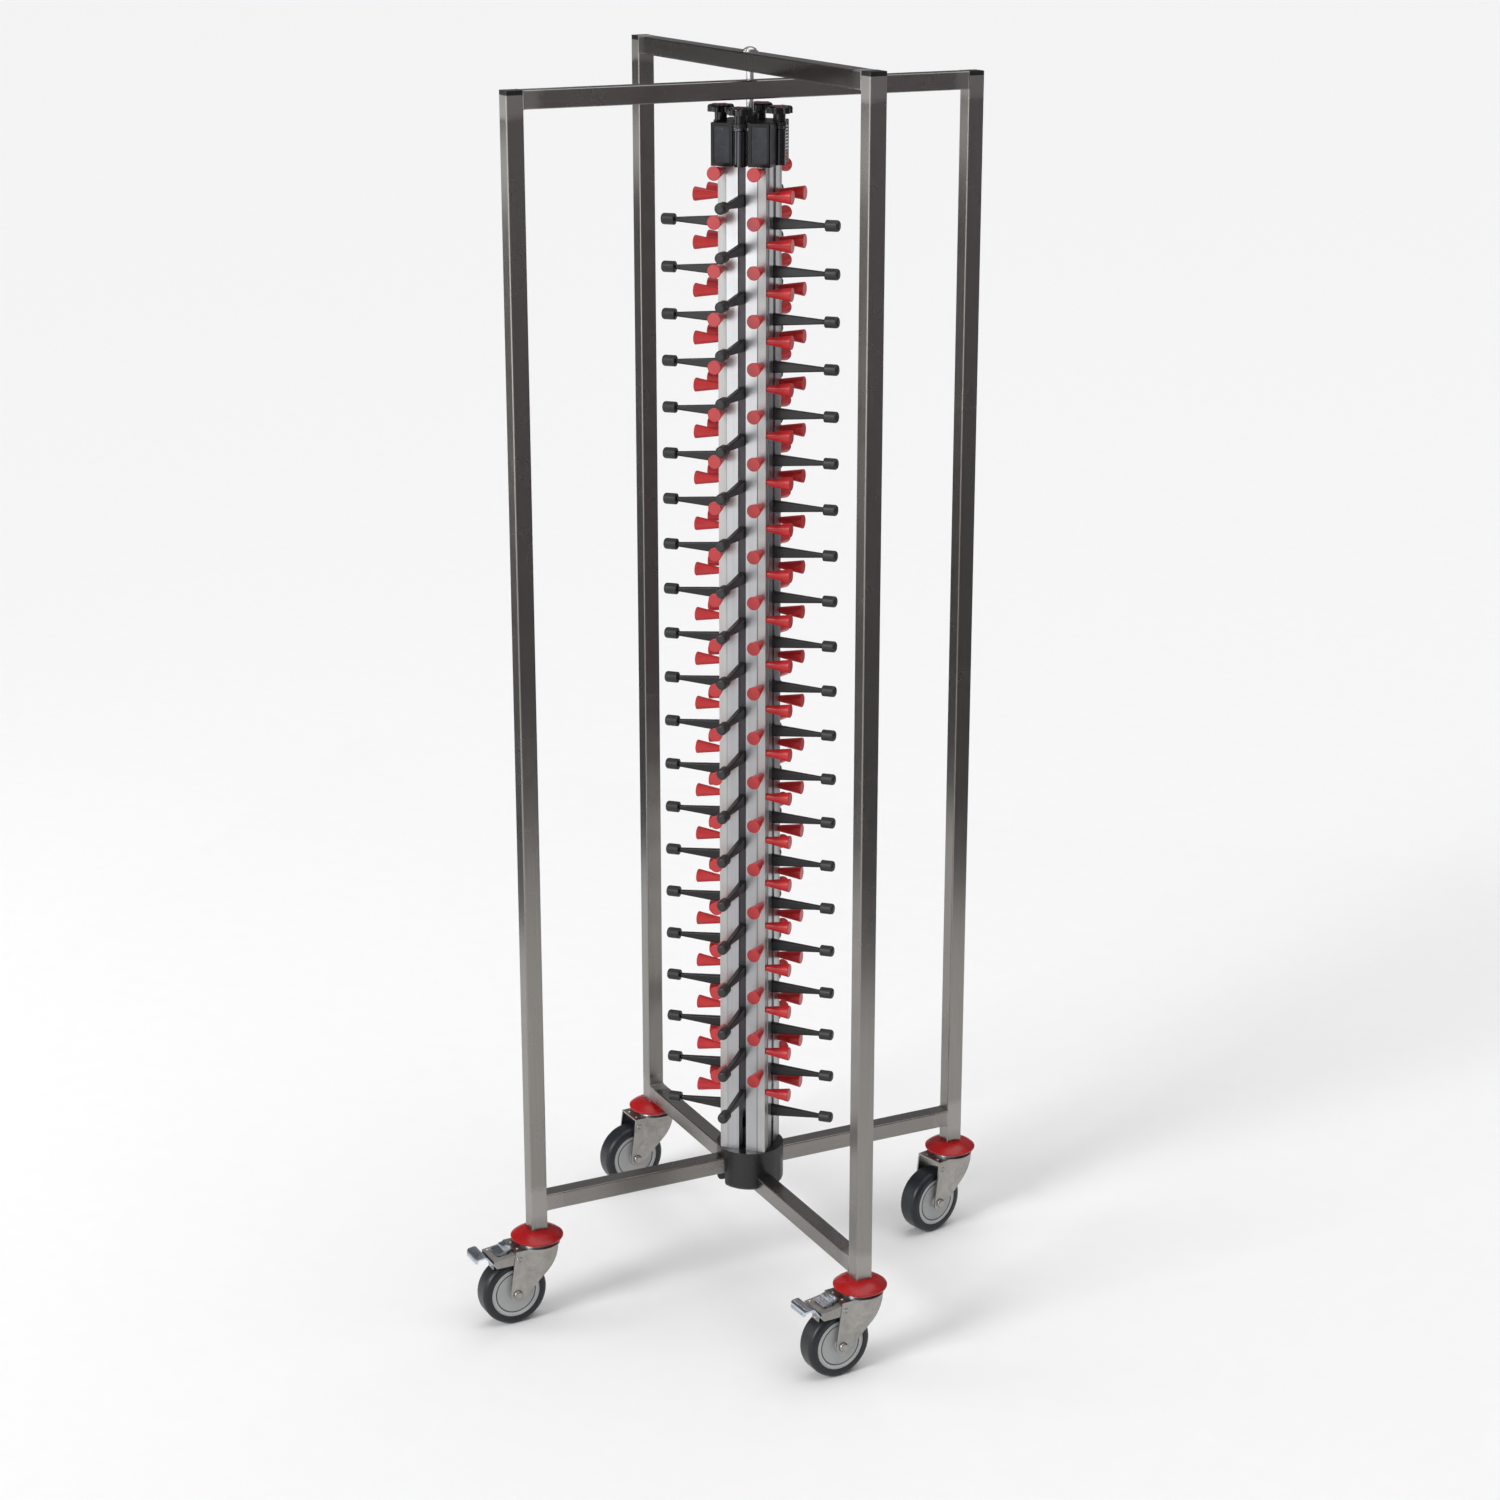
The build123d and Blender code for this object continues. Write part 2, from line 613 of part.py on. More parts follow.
def arm_cap():
    cap = Cylinder(CAP_DIAMETER / 2, CAP_LENGTH)
    rims = cap.edges().filter_by(GeomType.CIRCLE).sort_by(Axis.Z)
    cap = fillet(rims[-1], CAP_OUTER_ROUND)
    rims = cap.edges().filter_by(GeomType.CIRCLE).sort_by(Axis.Z)
    cap = fillet(rims[0], CAP_INNER_ROUND)
    return Pos(0, -rail_front - ARM_REACH, 0) * outwards(Pos(0, 0, CAP_LENGTH / 2) * cap)


def on_rows(shape, station):
    return [at_station(Pos(0, 0, z - ARM_DROP) * shape, station) for z in row_heights(station)]


# Head of the column

def housing(quarter):
    """Cover over the head of one profile, with a sunk panel in each outer face."""
    low = HOUSING_GAP / 2
    high = half_column + HOUSING_WALL
    body = block(low, high, low, high, housing_bottom, housing_top)
    corner = body.edges().filter_by(Axis.Z).sort_by(SortBy.DISTANCE, reverse=True)[0]
    body = fillet(corner, HOUSING_CORNER)
    body -= block(low - 1, half_column, low - 1, half_column, housing_bottom - 1, column_top)
    panel_low = low + PANEL_BORDER
    panel_high = high - PANEL_BORDER
    z0 = housing_bottom + PANEL_BORDER
    z1 = housing_top - PANEL_BORDER
    body -= block(panel_low, panel_high, high - PANEL_DEPTH, high + 1, z0, z1)
    body -= block(high - PANEL_DEPTH, high + 1, panel_low, panel_high, z0, z1)
    return Rot(0, 0, 90 * quarter) * body


def head_plate():
    """Cross between the housings that carries the spindles in its lugs, with a boss round the tie rod."""
    width = HOUSING_GAP - 2 * HEAD_CLEARANCE
    plan = Rectangle(2 * SPINDLE_OFFSET, width) + Rectangle(width, 2 * SPINDLE_OFFSET)
    for turn in STATIONS.values():
        plan += Rot(0, 0, turn) * Pos(0, -SPINDLE_OFFSET) * Circle(HEAD_LUG_RADIUS)
    for turn in STATIONS.values():
        plan -= Rot(0, 0, turn) * Pos(0, -SPINDLE_OFFSET) * Circle(SPINDLE_DIAMETER / 2 + RUNNING_FIT)
    plate = Pos(0, 0, column_top) * extrude(plan, HEAD_COVER)
    plate += disc(HEAD_BOSS_RADIUS, housing_top, housing_top + HEAD_BOSS_HEIGHT)
    return plate - disc(rod_hole, column_top - 1, housing_top + HEAD_BOSS_HEIGHT + 1)


def spindle(station):
    low = housing_bottom + SPINDLE_DIAMETER / 4
    body = disc(SPINDLE_DIAMETER / 2, low, knob_bottom + SPINDLE_IN_KNOB)
    body += disc(SPINDLE_COLLAR_RADIUS, collar_top - SPINDLE_COLLAR, collar_top)
    return at_station(Pos(0, -SPINDLE_OFFSET, 0) * body, station)


def knob(station):
    lobe_circle = KNOB_DIAMETER / 2 - KNOB_LOBE_RADIUS
    plan = Circle(lobe_circle + KNOB_LOBE_RADIUS / 2)
    for i in range(KNOB_LOBES):
        plan += Rot(0, 0, 360 * i / KNOB_LOBES) * Pos(lobe_circle, 0) * Circle(KNOB_LOBE_RADIUS)
    head = extrude(plan, KNOB_HEAD)
    head = fillet(head.edges().group_by(Axis.Z)[-1], KNOB_ROUND)
    body = Pos(0, 0, knob_head_bottom) * head
    body += disc(KNOB_HUB_DIAMETER / 2, knob_bottom, knob_head_bottom)
    body -= disc(SPINDLE_DIAMETER / 2, knob_bottom - 1, knob_bottom + SPINDLE_IN_KNOB)
    return at_station(Pos(0, -SPINDLE_OFFSET, 0) * body, station)


# Every node by name

nodes = {}
for corner in CORNERS:
    nodes["upright_" + corner] = [upright(corner)]
for portal in ("outer", "inner"):
    nodes["top_beam_" + portal] = [beam(portal, portal_top[portal] - TUBE)]
    nodes["bottom_beam_" + portal] = [beam(portal, low_beam[portal])]
nodes["end_caps"] = [end_cap(corner) for corner in CORNERS]
nodes["bumpers"] = [bumper(corner) for corner in CORNERS]
nodes["tie_rod"] = [tie_rod()]
nodes["rod_fasteners"] = rod_fasteners()
nodes["foot_hub"] = [foot_hub()]
nodes["caster_stems"] = [at_corner(caster_stem(), corner) for corner in CORNERS]

for corner in CORNERS:
    nodes["caster_fork_" + corner] = [at_caster(fork(), corner), at_caster(axle(), corner)]
    nodes["wheel_hub_" + corner] = [at_caster(wheel_hub(), corner)]
    nodes["tyre_" + corner] = [at_caster(tyre(), corner)]
for corner in BRAKED:
    nodes["brake_housing_" + corner] = [at_caster(brake_housing(), corner)]
    nodes["brake_pedal_" + corner] = [at_caster(brake_pedal(), corner)]

for quarter, corner in enumerate(("back_right", "back_left", "front_left", "front_right")):
    nodes["column_profile_" + corner] = [profile(quarter)]
nodes["column_housings"] = [housing(quarter) for quarter in range(4)]
nodes["core_spiders"] = spiders()
nodes["head_plate"] = [head_plate()]
nodes["red_pins_front_back"] = red_pins("front") + red_pins("back")
nodes["red_pins_left_right"] = red_pins("left") + red_pins("right")

for station in STATIONS:
    nodes["rail_" + station] = [rail(station)]
    nodes["arms_" + station] = on_rows(arm(), station)
    nodes["arm_caps_" + station] = on_rows(arm_cap(), station)
    nodes["spindle_" + station] = [spindle(station)]
    nodes["knob_" + station] = [knob(station)]

os.makedirs("parts", exist_ok=True)
for name, shapes in nodes.items():
    solids = [solid for shape in shapes for solid in shape.solids()]
    whole = solids[0] if len(solids) == 1 else Compound(children=solids)
    export_step(whole, os.path.join("parts", name + ".step"))
print(len(nodes), "nodes,", rows, "rows")
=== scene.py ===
"""Looks of the plate trolley: a finish on every solid, small fittings, a studio floor, lamps and the camera.

Metres. +Z is up, the floor is z = 0 and the column's axis is the Z axis, as in the solids.
Colours are linear red, green and blue.
"""
import json
import math

import bmesh
import bpy
from mathutils import Matrix, Vector


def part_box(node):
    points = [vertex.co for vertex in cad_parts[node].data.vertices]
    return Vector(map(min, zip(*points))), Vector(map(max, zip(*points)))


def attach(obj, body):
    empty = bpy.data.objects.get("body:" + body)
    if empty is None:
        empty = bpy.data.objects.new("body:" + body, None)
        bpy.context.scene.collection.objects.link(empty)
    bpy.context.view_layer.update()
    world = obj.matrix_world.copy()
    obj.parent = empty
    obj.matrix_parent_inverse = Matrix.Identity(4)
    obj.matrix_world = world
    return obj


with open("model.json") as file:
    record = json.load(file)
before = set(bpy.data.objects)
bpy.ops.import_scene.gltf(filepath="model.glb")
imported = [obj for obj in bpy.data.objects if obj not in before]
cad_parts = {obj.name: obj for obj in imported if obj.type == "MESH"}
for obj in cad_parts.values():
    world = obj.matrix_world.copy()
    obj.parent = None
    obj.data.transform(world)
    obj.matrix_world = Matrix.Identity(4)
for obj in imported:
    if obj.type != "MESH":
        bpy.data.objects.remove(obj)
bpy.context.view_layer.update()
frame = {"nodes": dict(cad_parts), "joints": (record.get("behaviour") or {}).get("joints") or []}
nodes = frame["nodes"]
joints = {joint["name"]: joint for joint in frame["joints"]}


# Places and sizes

MM = 0.001
CORNERS = ("front_left", "front_right", "back_left", "back_right")
BRAKED = ("front_left", "front_right")
STATIONS = ("front", "right", "back", "left")
BEAM_TURN = {"outer": -45, "inner": 45}
PORTAL_OF = {"front_left": "inner", "front_right": "outer", "back_left": "outer", "back_right": "inner"}


def centre_of(node):
    """Middle of a solid's box."""
    low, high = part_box(node)
    return (low + high) / 2


# Tube frame, and how far from a joint its tubes are ground
TUBE = 25 * MM
PORTAL_REACH = centre_of("upright_back_right").xy.length
LOW_JOINTS = {portal: centre_of("bottom_beam_" + portal).z for portal in BEAM_TURN}
TOP_JOINTS = {portal: centre_of("top_beam_" + portal).z for portal in BEAM_TURN}
UPRIGHT_GROUND = 26 * MM
BEAM_GROUND = 34 * MM

# Column, pins and wheel hubs
STEP_FROM_AXIS = 22.5 * MM
PIN_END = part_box("red_pins_front_back")[1].y
HUB_GROOVE = 30.75 * MM

# Covers of the column's head, with a sunk panel on each flank
HOUSING_LOW, HOUSING_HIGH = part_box("column_housings")
PANEL_MIDDLE = 27 * MM
PANEL_HALF_WIDTH = 11 * MM
PANEL_HALF_HEIGHT = 24.5 * MM
PANEL_DEPTH = 1.0 * MM

# Printed tick strip on the right of the head: a tick takes a share of its step, clear of the strip's edges
SCALE_Y = (24.0 * MM, 37.5 * MM)
SCALE_Z = (HOUSING_LOW.z + 5 * MM, HOUSING_HIGH.z - 5 * MM)
SCALE_THICKNESS = 1.2 * MM
SCALE_TICKS = 11
RED_TICKS = 3
TICK_SHARE = 0.34
TICK_Y = (SCALE_Y[0] + 3.0 * MM, SCALE_Y[1] - 1.0 * MM)


# Shader helpers

def feed(tree, socket, value):
    """Link a socket to another one, or set it to a plain value."""
    if isinstance(value, bpy.types.NodeSocket):
        tree.links.new(value, socket)
    else:
        socket.default_value = value


def place(tree, kind, inputs=None, **settings):
    """Add a node, then set its properties and feed its inputs."""
    made = tree.nodes.new(kind)
    for name, value in settings.items():
        setattr(made, name, value)
    for name, value in (inputs or {}).items():
        feed(tree, made.inputs[name], value)
    return made


def calculate(tree, operation, *values):
    """Result of one Math node on numbers or sockets."""
    return place(tree, "ShaderNodeMath", operation=operation, inputs=dict(enumerate(values))).outputs[0]


def measure(tree, operation, *values):
    """Outputs of one Vector Math node on vectors."""
    return place(tree, "ShaderNodeVectorMath", operation=operation, inputs=dict(enumerate(values))).outputs


def split(tree, vector):
    """X, Y and Z of a vector."""
    return place(tree, "ShaderNodeSeparateXYZ", inputs={"Vector": vector}).outputs


def from_middle(tree, where):
    """Distances from the column's two middle planes and from the floor."""
    return split(tree, measure(tree, "ABSOLUTE", where)["Vector"])


def noise(tree, vector, **inputs):
    """Value of a noise texture, with its other inputs by name."""
    return place(tree, "ShaderNodeTexNoise", inputs={"Vector": vector, **inputs}).outputs["Fac"]


def fade(tree, value, start, end):
    """Number that runs from 0 to 1 as a value goes from start to end."""
    made = place(tree, "ShaderNodeMapRange", inputs={"Value": value, "From Min": start, "From Max": end})
    return made.outputs["Result"]


def spread(tree, mask, low, high):
    """Number that runs from low to high as the mask goes from 0.25 to 0.75."""
    made = place(tree, "ShaderNodeMapRange",
                 inputs={"Value": mask, "From Min": 0.25, "From Max": 0.75, "To Min": low, "To Max": high})
    return made.outputs["Result"]


def shade(tree, mask, dark, light, low=0.3, high=0.7):
    """Colour that runs from dark to light as the mask goes from low to high."""
    ramp = place(tree, "ShaderNodeValToRGB", inputs={"Fac": mask})
    for element, position, colour in zip(ramp.color_ramp.elements, (low, high), (dark, light)):
        element.position = position
        element.color = (*colour, 1.0)
    return ramp.outputs["Color"]


def mix(tree, mask, below, above):
    """One colour over another by a mask."""
    made = place(tree, "ShaderNodeMix", data_type="RGBA", inputs={"Factor": mask})
    colours = [socket for socket in made.inputs if socket.type == "RGBA"]
    for socket, value in zip(colours, (below, above)):
        feed(tree, socket, value if isinstance(value, bpy.types.NodeSocket) else (*value, 1.0))
    return next(socket for socket in made.outputs if socket.type == "RGBA")


def new_group(name, inputs, outputs):
    """Empty shader group with named sockets; gives the group, the sockets put in and the sockets to feed."""
    group = bpy.data.node_groups.new(name, "ShaderNodeTree")
    for socket, kind in inputs.items():
        group.interface.new_socket(socket, in_out="INPUT", socket_type="NodeSocket" + kind)
    for socket, kind in outputs.items():
        group.interface.new_socket(socket, in_out="OUTPUT", socket_type="NodeSocket" + kind)
    return group, group.nodes.new("NodeGroupInput").outputs, group.nodes.new("NodeGroupOutput").inputs


def use_group(tree, group, inputs):
    """Place a group in a material; gives its outputs."""
    return place(tree, "ShaderNodeGroup", node_tree=group, inputs=inputs).outputs


def new_material(name):
    """Material with no nodes but Object coordinates; gives the material, its tree and those coordinates."""
    material = bpy.data.materials.new(name)
    material.use_nodes = True
    tree = material.node_tree
    tree.nodes.clear()
    return material, tree, place(tree, "ShaderNodeTexCoord").outputs["Object"]


def surface(tree, colour, roughness, height, strength, distance=0.0004, **constants):
    """Principled shader with a bump, wired to the output; constants are set on its own sockets."""
    bump = place(tree, "ShaderNodeBump",
                 inputs={"Height": height, "Strength": strength, "Distance": distance})
    shader = place(tree, "ShaderNodeBsdfPrincipled",
                   inputs={"Base Color": colour, "Roughness": roughness, "Normal": bump.outputs["Normal"]})
    for name, value in constants.items():
        shader.inputs[name.replace("_", " ")].default_value = value
    place(tree, "ShaderNodeOutputMaterial", inputs={"Surface": shader.outputs["BSDF"]})


# Effects that several finishes share

def brushed_grain_group():
    """Long fine streaks for brushed metal, and broad cloudy smudges."""
    group, given, result = new_group(
        "brushed_grain", {"Vector": "Vector", "Stretch": "Vector", "Smudge Scale": "Float"},
        {"Streaks": "Float", "Smudges": "Float"})
    drawn = measure(group, "MULTIPLY", given["Vector"], given["Stretch"])["Vector"]
    feed(group, result["Streaks"], noise(group, drawn, Scale=1.0, Detail=5.0, Roughness=0.65))
    feed(group, result["Smudges"], noise(group, given["Vector"], Scale=given["Smudge Scale"], Detail=4.0,
                                         Roughness=0.6, Distortion=0.6))
    return group


def moulded_skin_group():
    """Fine spark-eroded grain of a moulded piece, soft patches of handling and thin scuffs."""
    group, given, result = new_group(
        "moulded_skin", {"Vector": "Vector", "Grain Scale": "Float"},
        {"Grain": "Float", "Patches": "Float", "Scuffs": "Float"})
    lines = noise(group, given["Vector"], Scale=160.0, Detail=2.0, Distortion=2.5)
    feed(group, result["Grain"], noise(group, given["Vector"], Scale=given["Grain Scale"], Detail=3.0))
    feed(group, result["Patches"], noise(group, given["Vector"], Scale=26.0, Detail=4.0, Roughness=0.6))
    feed(group, result["Scuffs"], fade(group, lines, 0.64, 0.78))
    return group


def ground_joint_group():
    """Mask that is 1 where a weld was ground flush and fades out with a ragged edge."""
    group, given, result = new_group(
        "ground_joint", {"Place": "Float", "Joint": "Float", "Width": "Float", "Ragged": "Float"},
        {"Mask": "Float"})
    distance = calculate(group, "ABSOLUTE", calculate(group, "SUBTRACT", given["Place"], given["Joint"]))
    share = calculate(group, "DIVIDE", distance, given["Width"])
    torn = calculate(group, "ADD", share, given["Ragged"])
    mask = place(group, "ShaderNodeMapRange", interpolation_type="SMOOTHSTEP",
                 inputs={"Value": torn, "From Min": 1.75, "From Max": 1.1})
    feed(group, result["Mask"], mask.outputs["Result"])
    return group


BRUSHED = brushed_grain_group()
SKIN = moulded_skin_group()
GROUND = ground_joint_group()

# Smudges in a metre of tube or column, and of the small caster steel
SMUDGES = 11.0
CASTER_SMUDGES = 60.0


# Finishes

def brushed_tube(name, turn, stretch, joint_axis, joint_places, blur_turn):
    """Brushed stainless tube: streaks along the tube, smudges, and paler ground welds at its joints."""
    material, tree, where = new_material(name)
    turned = place(tree, "ShaderNodeMapping",
                   inputs={"Vector": where, "Rotation": (0, 0, math.radians(-turn))}).outputs["Vector"]
    grain = use_group(tree, BRUSHED, {"Vector": turned, "Stretch": stretch, "Smudge Scale": SMUDGES})
    along = split(tree, turned)[joint_axis]
    if joint_axis != "Z":
        along = calculate(tree, "ABSOLUTE", along)
    ground = None
    for joint, width in joint_places:
        mask = use_group(tree, GROUND, {"Place": along, "Joint": joint, "Width": width,
                                        "Ragged": grain["Smudges"]})["Mask"]
        ground = mask if ground is None else calculate(tree, "MAXIMUM", ground, mask)
    steel = shade(tree, grain["Streaks"], (0.245, 0.233, 0.217), (0.285, 0.272, 0.253))
    colour = mix(tree, ground, steel, (0.36, 0.348, 0.328))
    rough = calculate(tree, "ADD", spread(tree, grain["Smudges"], 0.24, 0.29),
                      spread(tree, ground, 0.0, 0.14))
    surface(tree, colour, rough, grain["Streaks"], strength=0.02, Metallic=1.0, Anisotropic=0.75,
            Anisotropic_Rotation=blur_turn)
    return material


def bright_rod():
    """Drawn rod with fine lines along its length."""
    material, tree, where = new_material("bright_rod")
    grain = use_group(tree, BRUSHED, {"Vector": where, "Stretch": (700, 700, 30), "Smudge Scale": SMUDGES})
    colour = shade(tree, grain["Streaks"], (0.58, 0.58, 0.58), (0.74, 0.74, 0.74))
    rough = spread(tree, grain["Smudges"], 0.18, 0.28)
    surface(tree, colour, rough, grain["Streaks"], strength=0.05, Metallic=1.0)
    return material


def metal(name, dark, light, rough, stretch, smudge_scale=SMUDGES, metallic=1.0, strength=0.15):
    """Plain metal with short streaks and smudges."""
    material, tree, where = new_material(name)
    grain = use_group(tree, BRUSHED, {"Vector": where, "Stretch": stretch, "Smudge Scale": smudge_scale})
    colour = shade(tree, grain["Smudges"], dark, light)
    surface(tree, colour, spread(tree, grain["Smudges"], *rough), grain["Streaks"], strength, 0.0005,
            Metallic=metallic)
    return material


def drawn_aluminium():
    """Satin anodised extrusion: die lines down the column, a matt stripe under the pins, and painted shade as a
    dark line at its step.
    """
    material, tree, where = new_material("drawn_aluminium")
    grain = use_group(tree, BRUSHED, {"Vector": where, "Stretch": (420, 420, 1.4), "Smudge Scale": SMUDGES})
    plan = from_middle(tree, where)
    across = calculate(tree, "MINIMUM", plan["X"], plan["Y"])
    stripe = fade(tree, across, STEP_FROM_AXIS - 0.2 * MM, STEP_FROM_AXIS + 0.2 * MM)
    # Painted shade: a dark line along the corner where the face steps down under the pins
    off_step = calculate(tree, "SUBTRACT", across, STEP_FROM_AXIS + 0.5 * MM)
    line = fade(tree, calculate(tree, "ABSOLUTE", off_step), 0.9 * MM, 0.4 * MM)
    bright = shade(tree, grain["Streaks"], (0.39, 0.394, 0.404), (0.45, 0.455, 0.466))
    matt = shade(tree, grain["Streaks"], (0.44, 0.44, 0.437), (0.50, 0.50, 0.497))
    colour = mix(tree, line, mix(tree, stripe, bright, matt), (0.31, 0.31, 0.31))
    rough = calculate(tree, "MULTIPLY_ADD", stripe, 0.18, spread(tree, grain["Smudges"], 0.27, 0.33))
    surface(tree, colour, rough, grain["Streaks"], 0.06, 0.0006, Metallic=0.88)
    return material


def rail_metal():
    """Black anodised rail; the nut block at its head is glossy black."""
    material, tree, where = new_material("black_anodised_rail")
    grain = use_group(tree, BRUSHED, {"Vector": where, "Stretch": (500, 500, 4), "Smudge Scale": SMUDGES})
    head = calculate(tree, "GREATER_THAN", split(tree, where)["Z"], HOUSING_LOW.z - 1 * MM)
    rail = shade(tree, grain["Smudges"], (0.05, 0.048, 0.051), (0.075, 0.072, 0.077))
    block = shade(tree, grain["Smudges"], (0.045, 0.046, 0.05), (0.06, 0.061, 0.066))
    colour = mix(tree, head, rail, block)
    rough = calculate(tree, "MULTIPLY_ADD", head, -0.22, spread(tree, grain["Smudges"], 0.34, 0.44))
    surface(tree, colour, rough, grain["Streaks"], strength=0.08, Metallic=1.0)
    return material


def moulded(name, dark, light, rough, grain_scale=900.0, strength=0.12, scuff=None, **constants):
    """Moulded plastic or rubber: fine grain, soft patches and, where given, paler scuffs."""
    material, tree, where = new_material(name)
    skin = use_group(tree, SKIN, {"Vector": where, "Grain Scale": grain_scale})
    colour = shade(tree, skin["Patches"], dark, light)
    if scuff:
        colour = mix(tree, skin["Scuffs"], colour, scuff)
    surface(tree, colour, spread(tree, skin["Patches"], *rough), skin["Grain"], strength, **constants)
    return material


def pin_plastic():
    """Glossy red of the pins, with an even red on their flat ends."""
    material, tree, where = new_material("red_pin_plastic")
    skin = use_group(tree, SKIN, {"Vector": where, "Grain Scale": 700.0})
    plan = from_middle(tree, where)
    reach = calculate(tree, "MAXIMUM", plan["X"], plan["Y"])
    end = calculate(tree, "GREATER_THAN", reach, PIN_END - 0.3 * MM)
    red = shade(tree, skin["Patches"], (0.48, 0.012, 0.016), (0.58, 0.022, 0.025))
    colour = mix(tree, end, red, (0.50, 0.024, 0.028))
    surface(tree, colour, spread(tree, skin["Patches"], 0.26, 0.38), skin["Grain"], strength=0.06)
    return material


def cover_plastic():
    """Black covers of the column's head: glossy edges, and on each flank a sunk panel painted greyer as a
    sheen, with paler scuffs.
    """
    material, tree, where = new_material("cover_plastic")
    skin = use_group(tree, SKIN, {"Vector": where, "Grain Scale": 900.0})
    plan = from_middle(tree, where)
    across = calculate(tree, "MINIMUM", plan["X"], plan["Y"])
    wide = calculate(tree, "COMPARE", across, PANEL_MIDDLE, PANEL_HALF_WIDTH)
    tall = calculate(tree, "COMPARE", plan["Z"], (HOUSING_LOW.z + HOUSING_HIGH.z) / 2, PANEL_HALF_HEIGHT)
    panel = calculate(tree, "MULTIPLY", wide, tall)
    edge = shade(tree, skin["Patches"], (0.003, 0.003, 0.0032), (0.006, 0.006, 0.0062))
    # Painted sheen: the sunk panels are a lighter blue-grey than the black around them, and paler scuffs lie
    # over it
    panel_sheen_and_scuffs = shade(tree, skin["Patches"], (0.016, 0.017, 0.020), (0.062, 0.066, 0.076))
    panel_sheen_and_scuffs = mix(tree, skin["Scuffs"], panel_sheen_and_scuffs, (0.11, 0.115, 0.125))
    colour = mix(tree, panel, edge, panel_sheen_and_scuffs)
    rough = calculate(tree, "MULTIPLY_ADD", panel, 0.15, spread(tree, skin["Patches"], 0.24, 0.36))
    surface(tree, colour, rough, skin["Grain"], strength=0.10, Specular_IOR_Level=0.22)
    return material


def hub_plastic(corner):
    """Grey hub: painted shade as a dark line in its groove, and a paler ring outside it, measured from the
    axle.
    """
    material, tree, where = new_material("hub_plastic_" + corner)
    skin = use_group(tree, SKIN, {"Vector": where, "Grain Scale": 500.0})
    spin = joints["wheel_" + corner + "_spin"]
    from_axle = measure(tree, "SUBTRACT", where, spin["pos_m"])["Vector"]
    across = measure(tree, "CROSS_PRODUCT", from_axle, spin["axis"])["Vector"]
    radius = measure(tree, "LENGTH", across)["Value"]
    # Painted shade: a dark line along the groove
    distance = calculate(tree, "ABSOLUTE", calculate(tree, "SUBTRACT", radius, HUB_GROOVE))
    groove = fade(tree, distance, 1.3 * MM, 0.5 * MM)
    ring = calculate(tree, "GREATER_THAN", radius, HUB_GROOVE)
    disc = shade(tree, skin["Patches"], (0.38, 0.385, 0.385), (0.44, 0.445, 0.445))
    colour = mix(tree, ring, disc, (0.50, 0.505, 0.505))
    colour = mix(tree, groove, colour, (0.13, 0.132, 0.135))
    surface(tree, colour, spread(tree, skin["Patches"], 0.38, 0.52), skin["Grain"], strength=0.10)
    return material


def scale_print():
    """Black strip with printed white ticks down its length and red ones at its lower end."""
    material, tree, where = new_material("scale_print")
    skin = use_group(tree, SKIN, {"Vector": where, "Grain Scale": 1200.0})
    parts = split(tree, where)
    low, high = SCALE_Z
    step = (high - low) / SCALE_TICKS
    count = place(tree, "ShaderNodeMapRange", clamp=False,
                  inputs={"Value": parts["Z"], "From Min": low, "From Max": low + step}).outputs["Result"]
    tick = calculate(tree, "LESS_THAN", calculate(tree, "FRACT", count), TICK_SHARE)
    across = calculate(tree, "MULTIPLY", calculate(tree, "GREATER_THAN", parts["Y"], TICK_Y[0]),
                       calculate(tree, "LESS_THAN", parts["Y"], TICK_Y[1]))
    mark = calculate(tree, "MULTIPLY", tick, across)
    lower = calculate(tree, "LESS_THAN", parts["Z"], low + RED_TICKS * step)
    ink = mix(tree, lower, (0.80, 0.80, 0.79), (0.62, 0.04, 0.04))
    base = shade(tree, skin["Patches"], (0.016, 0.016, 0.017), (0.026, 0.026, 0.028))
    colour = mix(tree, mark, base, ink)
    surface(tree, colour, spread(tree, skin["Patches"], 0.40, 0.52), skin["Grain"], 0.08, 0.0003)
    return material


